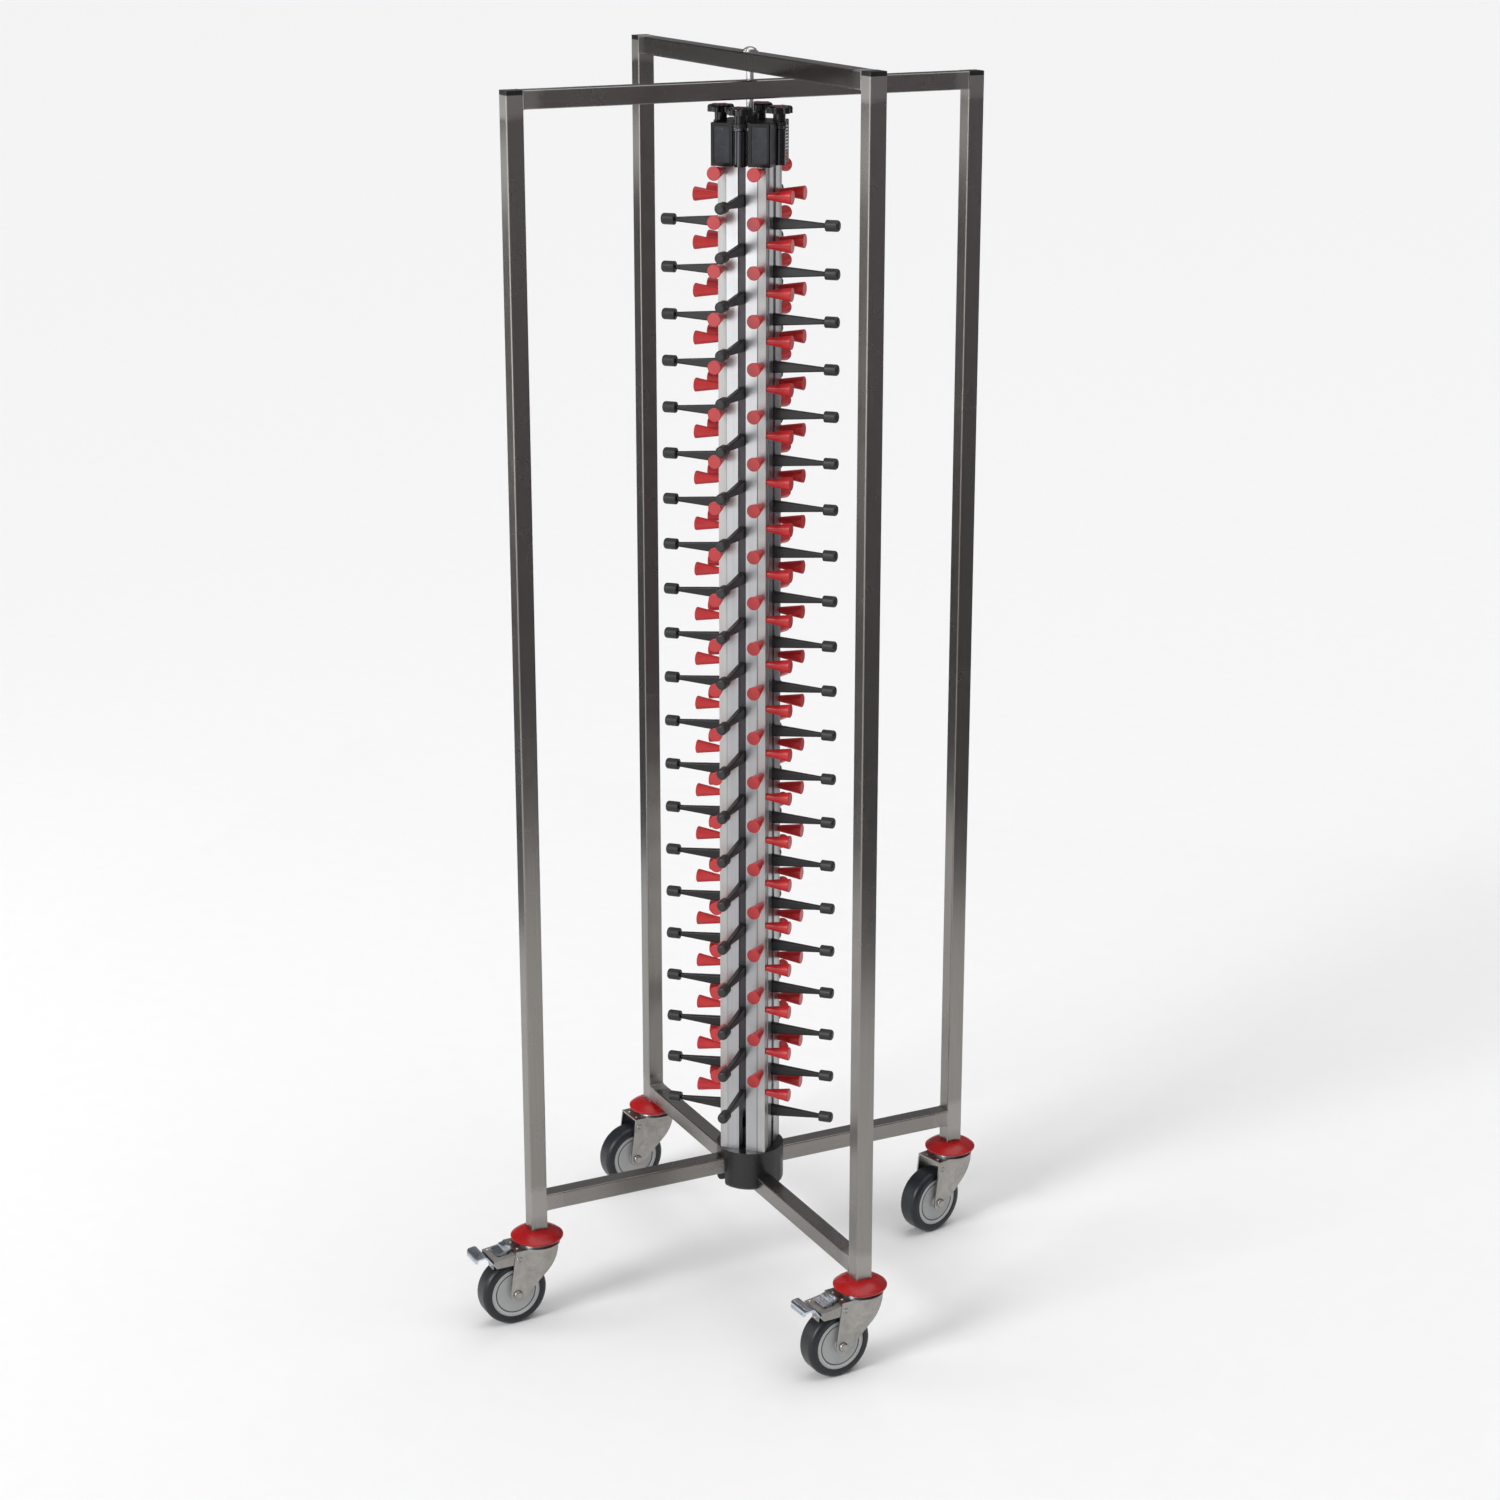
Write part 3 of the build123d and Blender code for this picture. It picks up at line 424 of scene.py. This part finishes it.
FINISH = {
    "tie_rod": bright_rod(),
    "fasteners": metal("plain_stainless", (0.46, 0.455, 0.45), (0.60, 0.595, 0.585), (0.20, 0.32),
                       (300, 300, 300)),
    "profile": drawn_aluminium(),
    "black": moulded("black_moulding", (0.007, 0.007, 0.0072), (0.013, 0.013, 0.0132), (0.26, 0.40),
                     scuff=(0.035, 0.034, 0.033)),
    "cap_black": moulded("black_plug", (0.005, 0.005, 0.0055), (0.009, 0.009, 0.0095), (0.34, 0.48)),
    "red_pin": pin_plastic(),
    "cover": cover_plastic(),
    "red_bumper": moulded("red_bumper_plastic", (0.34, 0.005, 0.007), (0.42, 0.009, 0.010), (0.22, 0.34),
                          grain_scale=600.0, strength=0.06, scuff=(0.46, 0.03, 0.028),
                          Specular_IOR_Level=0.4),
    "rail": rail_metal(),
    "spindle": metal("dark_spindle_steel", (0.07, 0.07, 0.073), (0.11, 0.11, 0.114), (0.18, 0.28),
                     (400, 400, 30)),
    "arm": moulded("arm_plastic", (0.006, 0.006, 0.0064), (0.011, 0.011, 0.0114), (0.26, 0.38),
                   Specular_IOR_Level=0.4),
    "cap": moulded("soft_cap_rubber", (0.013, 0.013, 0.0138), (0.021, 0.021, 0.022), (0.38, 0.52),
                   grain_scale=1400.0, strength=0.2),
    "fork": metal("pressed_stainless", (0.29, 0.279, 0.261), (0.43, 0.416, 0.39), (0.28, 0.42),
                  (260, 260, 40), CASTER_SMUDGES),
    "zinc": metal("blue_zinc_plate", (0.42, 0.47, 0.52), (0.57, 0.62, 0.67), (0.24, 0.36),
                  (180, 180, 180), CASTER_SMUDGES, strength=0.03),
    "brake_cover": metal("satin_stainless", (0.31, 0.298, 0.278), (0.43, 0.414, 0.388), (0.50, 0.62),
                         (260, 260, 40), CASTER_SMUDGES, metallic=0.85),
    "tyre": moulded("grey_tyre_rubber", (0.011, 0.0126, 0.0155), (0.019, 0.0213, 0.0255), (0.30, 0.42),
                    grain_scale=800.0, Specular_IOR_Level=0.38),
    "knob": moulded("knob_plastic", (0.004, 0.004, 0.0042), (0.008, 0.008, 0.0083), (0.16, 0.28),
                    Specular_IOR_Level=0.35),
    "knob_red": moulded("knob_insert_red", (0.20, 0.008, 0.010), (0.26, 0.012, 0.014), (0.34, 0.48),
                        Specular_IOR_Level=0.3),
    "scale": scale_print(),
}
for corner in CORNERS:
    FINISH["wheel_hub_" + corner] = hub_plastic(corner)
    portal = PORTAL_OF[corner]
    FINISH["upright_" + corner] = brushed_tube(
        "brushed_upright_" + portal + "_" + corner, 0, (520, 520, 9), "Z",
        ((LOW_JOINTS[portal], UPRIGHT_GROUND), (TOP_JOINTS[portal], UPRIGHT_GROUND)), 0.0)
for portal, turn in BEAM_TURN.items():
    for level in ("top", "bottom"):
        FINISH[level + "_beam_" + portal] = brushed_tube(
            "brushed_" + level + "_beam_" + portal, turn, (9, 520, 520), "X",
            ((PORTAL_REACH, BEAM_GROUND),), 0.25)

# Start of a solid's name, its finish (None: one of its own) and the width of its soft edges in mm
NODE_FINISH = (
    ("upright_", None, 0.0),
    ("top_beam_", None, 0.0),
    ("bottom_beam_", None, 0.0),
    ("end_caps", "cap_black", 1.2),
    ("bumpers", "red_bumper", 0.0),
    ("tie_rod", "tie_rod", 0.0),
    ("rod_fasteners", "fasteners", 0.3),
    ("foot_hub", "black", 0.8),
    ("caster_stems", "zinc", 0.0),
    ("caster_fork_", "fork", 0.9),
    ("wheel_hub_", None, 0.4),
    ("tyre_", "tyre", 0.0),
    ("brake_housing_", "brake_cover", 0.6),
    ("brake_pedal_", "zinc", 0.8),
    ("column_profile_", "profile", 0.3),
    ("column_housings", "cover", 0.7),
    ("core_spiders", "black", 0.0),
    ("head_plate", "black", 0.6),
    ("red_pins_", "red_pin", 0.0),
    ("rail_", "rail", 0.4),
    ("arms_", "arm", 1.2),
    ("arm_caps_", "cap", 0.0),
    ("spindle_", "spindle", 0.3),
    ("knob_", "knob", 0.8),
)
SHARP_DEGREES = 38
WELD_DISTANCE = 0.00001


def soften(piece, width):
    """Live rounding of a piece's sharp edges."""
    weld = piece.modifiers.new("join_triangles", "WELD")
    weld.merge_threshold = WELD_DISTANCE
    bevel = piece.modifiers.new("soft_edges", "BEVEL")
    bevel.width = width * MM
    bevel.segments = 2
    bevel.limit_method = "ANGLE"
    bevel.angle_limit = math.radians(SHARP_DEGREES)
    bevel.use_clamp_overlap = True
    normals = piece.modifiers.new("flat_faces", "WEIGHTED_NORMAL")
    normals.keep_sharp = False


for name, piece in nodes.items():
    finish, width = next(row[1:] for row in NODE_FINISH if name.startswith(row[0]))
    piece.data.materials.clear()
    piece.data.materials.append(FINISH[finish or name])
    if width:
        soften(piece, width)


# Small fittings

# Outlines of round fittings: radius and height in mm
FORK_RIVET = ((4.8, -0.3), (4.7, 0.4), (4.0, 0.9), (2.6, 0.8), (1.8, 0.3), (0, 0.3))
CROWN_BOSS = ((3.2, -0.3), (3.0, 0.7), (1.6, 1.3), (0, 1.4))
BRAKE_RIVET = ((2.6, -0.3), (2.4, 0.7), (1.2, 1.2), (0, 1.3))
KNOB_DISC = ((8.2, -0.5), (8.2, 0.1), (7.8, 0.3), (4, 0.35), (0, 0.35))

# Places on a caster in mm: x from the swivel along the trail, y to the side, z over the floor
FORK_RIVET_AT = (38, 24, 105)
CROWN_BOSS_AT = (36.5, 12, 118.5)
SHOE_RIVET_AT = (74, 0, 94.5)
COVER_SCREW_AT = (71, -18.5, 111.3)

# Weld beads, and the rounding of the tick strip
WELD_BEAD_WIDTH = 2.4 * MM
WELD_BEAD_PROUD = 0.7 * MM
WELD_BEAD_ROUNDING = 1.0 * MM
SCALE_ROUNDING = 0.3 * MM


def ribs(places, start, slope, radius, half_length):
    """Rolls across a sloping sheet that goes through start, as rows of x, z, radius and half length."""
    start_x, start_z = start
    return [(x, start_z + slope * (x - start_x), radius, half_length) for x in places]


# Rolls across a pedal: its lip, the rolled end of its release tab, and the ribs on both
PEDAL_ROLLS = [
    (103.0, 111.8, 1.9, 17.4),
    (48.2, 121.0, 3.0, 13.4),
    *ribs((92.5, 95.3, 98.1), (89.5, 119.75), -0.12, 0.5, 19.4),
    *ribs((55.0, 52.9), (56.5, 120.9), -0.238, 0.8, 12.2),
]


def finish_piece(mesh, name, body, finish):
    """Turn a finished bmesh into a piece that rides on a body."""
    bmesh.ops.recalc_face_normals(mesh, faces=mesh.faces)
    for face in mesh.faces:
        face.smooth = True
    data = bpy.data.meshes.new(name)
    mesh.to_mesh(data)
    mesh.free()
    data.materials.append(FINISH[finish])
    piece = bpy.data.objects.new(name, data)
    bpy.context.scene.collection.objects.link(piece)
    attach(piece, body)


def caster_frame(corner):
    """Turn and place of one caster: its own X runs along the trail and its Z axis is the swivel."""
    swivel = Vector(joints["caster_" + corner + "_swivel"]["pos_m"])
    axle = Vector(joints["wheel_" + corner + "_spin"]["pos_m"])
    trail = axle - swivel
    turn = Matrix.Rotation(math.atan2(trail.y, trail.x), 4, "Z")
    return Matrix.Translation((swivel.x, swivel.y, 0)) @ turn


def facing(x, y, z, direction):
    """Matrix that carries +Z to a direction, at a place in mm."""
    turn = Vector(direction).to_track_quat("Z", "Y").to_matrix().to_4x4()
    return Matrix.Translation((x * MM, y * MM, z * MM)) @ turn


def add_block(mesh, size, matrix, rounding):
    """Box with rounded edges, put in place by a matrix."""
    made = bmesh.ops.create_cube(mesh, size=1.0, matrix=matrix @ Matrix.Diagonal((*size, 1.0)))
    edges = list({edge for vert in made["verts"] for edge in vert.link_edges})
    bmesh.ops.bevel(mesh, geom=edges, offset=rounding, offset_type="OFFSET", affect="EDGES", segments=3,
                    profile=0.5, material=-1, clamp_overlap=True)


def add_dome(mesh, outline, steps, matrix):
    """Spin an outline about Z into a round piece, put in place by a matrix; placed vertices are tagged.

    An outline that starts off the axis leaves the underside open, which is sunk in what carries the piece.
    """
    verts = [mesh.verts.new((radius * MM, 0, height * MM)) for radius, height in outline]
    edges = [mesh.edges.new(pair) for pair in zip(verts, verts[1:])]
    bmesh.ops.spin(mesh, geom=verts + edges, cent=(0, 0, 0), axis=(0, 0, 1), angle=math.tau, steps=steps,
                   use_merge=True)
    bmesh.ops.remove_doubles(mesh, verts=[vert for vert in mesh.verts if not vert.tag], dist=1e-6)
    fresh = [vert for vert in mesh.verts if not vert.tag]
    bmesh.ops.transform(mesh, matrix=matrix, verts=fresh)
    for vert in fresh:
        vert.tag = True


def add_roll(mesh, radius, half_length, matrix):
    """Round bar with softened ends along Z, put in place by a matrix."""
    end = 0.4 * radius
    outline = ((0, -half_length), (0.7 * radius, -half_length + 0.1 * radius), (radius, -half_length + end),
               (radius, half_length - end), (0.7 * radius, half_length - 0.1 * radius), (0, half_length))
    add_dome(mesh, outline, 14, matrix)


def weld_seams():
    """Low bead round each beam end, where it meets its upright."""
    mesh = bmesh.new()
    reach = PORTAL_REACH - TUBE / 2
    bead = (WELD_BEAD_WIDTH, TUBE + WELD_BEAD_PROUD, TUBE + WELD_BEAD_PROUD)
    for portal, turn in BEAM_TURN.items():
        along_beam = Matrix.Rotation(math.radians(turn), 4, "Z")
        for height in (TOP_JOINTS[portal], LOW_JOINTS[portal]):
            for end in (1, -1):
                spot = along_beam @ Matrix.Translation((end * reach, 0, height))
                add_block(mesh, bead, spot, WELD_BEAD_ROUNDING)
    finish_piece(mesh, "weld_seams", "frame", "fork")


def fork_rivets(corner):
    """Dished rivet on each fork leg and two small bosses on the crown."""
    mesh = bmesh.new()
    at = caster_frame(corner)
    for side in (1, -1):
        x, y, z = FORK_RIVET_AT
        add_dome(mesh, FORK_RIVET, 16, at @ facing(x, side * y, z, (0, side, 0)))
    for side in (1, -1):
        x, y, z = CROWN_BOSS_AT
        add_dome(mesh, CROWN_BOSS, 12, at @ facing(x, side * y, z, (0, 0, 1)))
    finish_piece(mesh, "fork_rivets_" + corner, "caster_" + corner, "fork")


def pedal_fittings(corner):
    """Rolled lip, shallow ribs and the rolled end of the release tab of a pedal, which move with it."""
    mesh = bmesh.new()
    at = caster_frame(corner)
    for x, z, radius, half_length in PEDAL_ROLLS:
        add_roll(mesh, radius, half_length, at @ facing(x, 0, z, (0, 1, 0)))
    finish_piece(mesh, "pedal_fittings_" + corner, "pedal_" + corner, "zinc")


def brake_rivets(corner):
    """Rivet of the brake shoe and a screw on the cover's roof."""
    mesh = bmesh.new()
    at = caster_frame(corner)
    add_dome(mesh, BRAKE_RIVET, 12, at @ facing(*SHOE_RIVET_AT, (1, 0, 0)))
    add_dome(mesh, BRAKE_RIVET, 12, at @ facing(*COVER_SCREW_AT, (0, 0, 1)))
    finish_piece(mesh, "brake_rivets_" + corner, "caster_" + corner, "fasteners")


def knob_insert(station):
    """Thin red disc let into the top of a knob."""
    mesh = bmesh.new()
    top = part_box("knob_" + station)[1].z
    centre = centre_of("knob_" + station)
    add_dome(mesh, KNOB_DISC, 32, Matrix.Translation((centre.x, centre.y, top)))
    finish_piece(mesh, "knob_insert_" + station, "knob_" + station, "knob_red")


def tick_scale():
    """Printed strip on a sunk panel beside the right spindle."""
    mesh = bmesh.new()
    size = (SCALE_THICKNESS, SCALE_Y[1] - SCALE_Y[0], SCALE_Z[1] - SCALE_Z[0])
    middle = HOUSING_HIGH.x - PANEL_DEPTH + SCALE_THICKNESS / 2
    spot = Matrix.Translation((middle, sum(SCALE_Y) / 2, sum(SCALE_Z) / 2))
    add_block(mesh, size, spot, SCALE_ROUNDING)
    finish_piece(mesh, "tick_scale", "frame", "scale")


weld_seams()
for corner in CORNERS:
    fork_rivets(corner)
for corner in BRAKED:
    pedal_fittings(corner)
    brake_rivets(corner)
for station in STATIONS:
    knob_insert(station)
tick_scale()


# Floor, lamps and camera

FLOOR_RADIUS = 60.0
WORLD_GREY = (0.50, 0.50, 0.51, 1.0)
WORLD_STRENGTH = 0.7
CAMERA_AT = (1.339, -4.002, 2.130)
CAMERA_AIM = (0.0, 0.0, 0.823)
CAMERA_LENS = 73.2

# Dark cards: their shades, the heights between which a shade changes, and where they stand
CARD_BLACK = (0.05, 0.0465, 0.051)
CARD_DARK = (0.12, 0.1115, 0.122)
CARD_GREY = (0.27, 0.251, 0.274)
CARD_SHADED = (0.3, 1.75)
CARD_TOP = 3.2
RIGHT_CARD_X = 1.7
RIGHT_CARD_FRONT = -3.4
BACK_CARD_Y = 2.2
BACK_CARD_LEFT = -1.2
LEFT_CARD_X = -1.75
LEFT_CARD_Y = (-0.25, 2.4)


def add_stage(mesh, name, material):
    """Turn a bmesh into a piece of the set, which is not part of the object."""
    data = bpy.data.meshes.new(name)
    mesh.to_mesh(data)
    mesh.free()
    data.materials.append(material)
    piece = bpy.data.objects.new(name, data)
    bpy.context.scene.collection.objects.link(piece)
    return piece


def studio_floor():
    """Wide pale floor."""
    material, tree, where = new_material("pale_floor")
    skin = use_group(tree, SKIN, {"Vector": where, "Grain Scale": 30.0})
    colour = shade(tree, skin["Patches"], (0.945, 0.945, 0.945), (0.96, 0.96, 0.96))
    surface(tree, colour, spread(tree, skin["Patches"], 0.7, 0.8), skin["Grain"], 0.02, 0.001)
    mesh = bmesh.new()
    bmesh.ops.create_circle(mesh, cap_ends=True, segments=96, radius=FLOOR_RADIUS)
    add_stage(mesh, "studio_floor", material)


def dark_flag(name, start, end, heights, foot, head):
    """Upright card over the line from start to end, shaded from foot to head and seen only in reflections.

    It gives bare steel its depth.
    """
    material, tree, where = new_material("dark_card")
    skin = use_group(tree, SKIN, {"Vector": where, "Grain Scale": 30.0})
    colour = shade(tree, fade(tree, split(tree, where)["Z"], *CARD_SHADED), foot, head, 0.0, 1.0)
    surface(tree, colour, spread(tree, skin["Patches"], 0.8, 0.9), skin["Grain"], 0.02, 0.001)
    low, high = heights
    mesh = bmesh.new()
    corners = ((*start, low), (*end, low), (*end, high), (*start, high))
    mesh.faces.new([mesh.verts.new(corner) for corner in corners])
    card = add_stage(mesh, name, material)
    card.visible_camera = False
    card.visible_shadow = False
    card.visible_diffuse = False


def add_light(data, at, aim):
    """Put a light in the set, pointed from one place at another."""
    light = bpy.data.objects.new(data.name, data)
    light.location = at
    light.rotation_euler = (Vector(aim) - Vector(at)).to_track_quat("-Z", "Y").to_euler()
    bpy.context.scene.collection.objects.link(light)
    return light


def lamp(name, at, aim, width, height, watts, lights_all=True):
    """Softbox; one that does not light all shows only in reflections."""
    data = bpy.data.lights.new(name, "AREA")
    data.shape = "RECTANGLE"
    data.size = width
    data.size_y = height
    data.energy = watts
    add_light(data, at, aim).visible_diffuse = lights_all


def sun(name, at, strength, angle):
    """Sun that shines from a direction; a wide angle gives soft shadows."""
    data = bpy.data.lights.new(name, "SUN")
    data.energy = strength
    data.angle = math.radians(angle)
    add_light(data, at, (0, 0, 0))


def studio_world():
    """Even grey light from all round."""
    world = bpy.data.worlds.new("studio_world")
    world.use_nodes = True
    background = world.node_tree.nodes["Background"]
    background.inputs["Color"].default_value = WORLD_GREY
    background.inputs["Strength"].default_value = WORLD_STRENGTH
    bpy.context.scene.world = world


def photo_camera():
    """Camera at the photograph's viewing angle."""
    data = bpy.data.cameras.new("photo_camera")
    data.lens = CAMERA_LENS
    data.sensor_width = 36.0
    data.clip_end = 200.0
    camera = bpy.data.objects.new("photo_camera", data)
    camera.location = CAMERA_AT
    camera.rotation_euler = (Vector(CAMERA_AIM) - Vector(CAMERA_AT)).to_track_quat("-Z", "Y").to_euler()
    bpy.context.scene.collection.objects.link(camera)
    bpy.context.scene.camera = camera


studio_floor()
dark_flag("right_flag", (RIGHT_CARD_X, RIGHT_CARD_FRONT), (RIGHT_CARD_X, BACK_CARD_Y), (0.0, CARD_TOP),
          CARD_DARK, CARD_GREY)
for name, heights in (("back_low_flag", (0.0, 1.05)), ("back_high_flag", (1.55, CARD_TOP))):
    dark_flag(name, (BACK_CARD_LEFT, BACK_CARD_Y), (RIGHT_CARD_X, BACK_CARD_Y), heights, CARD_DARK, CARD_DARK)
for name, heights, tone in (("left_low_flag", (0.0, 1.42), CARD_DARK),
                            ("left_high_flag", (1.56, CARD_TOP), CARD_BLACK)):
    dark_flag(name, (LEFT_CARD_X, LEFT_CARD_Y[0]), (LEFT_CARD_X, LEFT_CARD_Y[1]), heights, tone, tone)
sun("key_sun", at=(-0.5, -0.85, 0.6), strength=1.6, angle=20)
sun("overhead_sun", at=(0.15, 0.1, 1.0), strength=1.2, angle=60)
lamp("left_softbox", at=(-3.4, -0.85, 1.3), aim=(0, 0, 1.3), width=1.5, height=2.0, watts=19)
lamp("front_softbox", at=(-1.33, -3.98, 1.12), aim=(0, 0, 1.3), width=1.7, height=1.2, watts=17,
     lights_all=False)
studio_world()
photo_camera()
bpy.context.scene.view_settings.view_transform = "Standard"
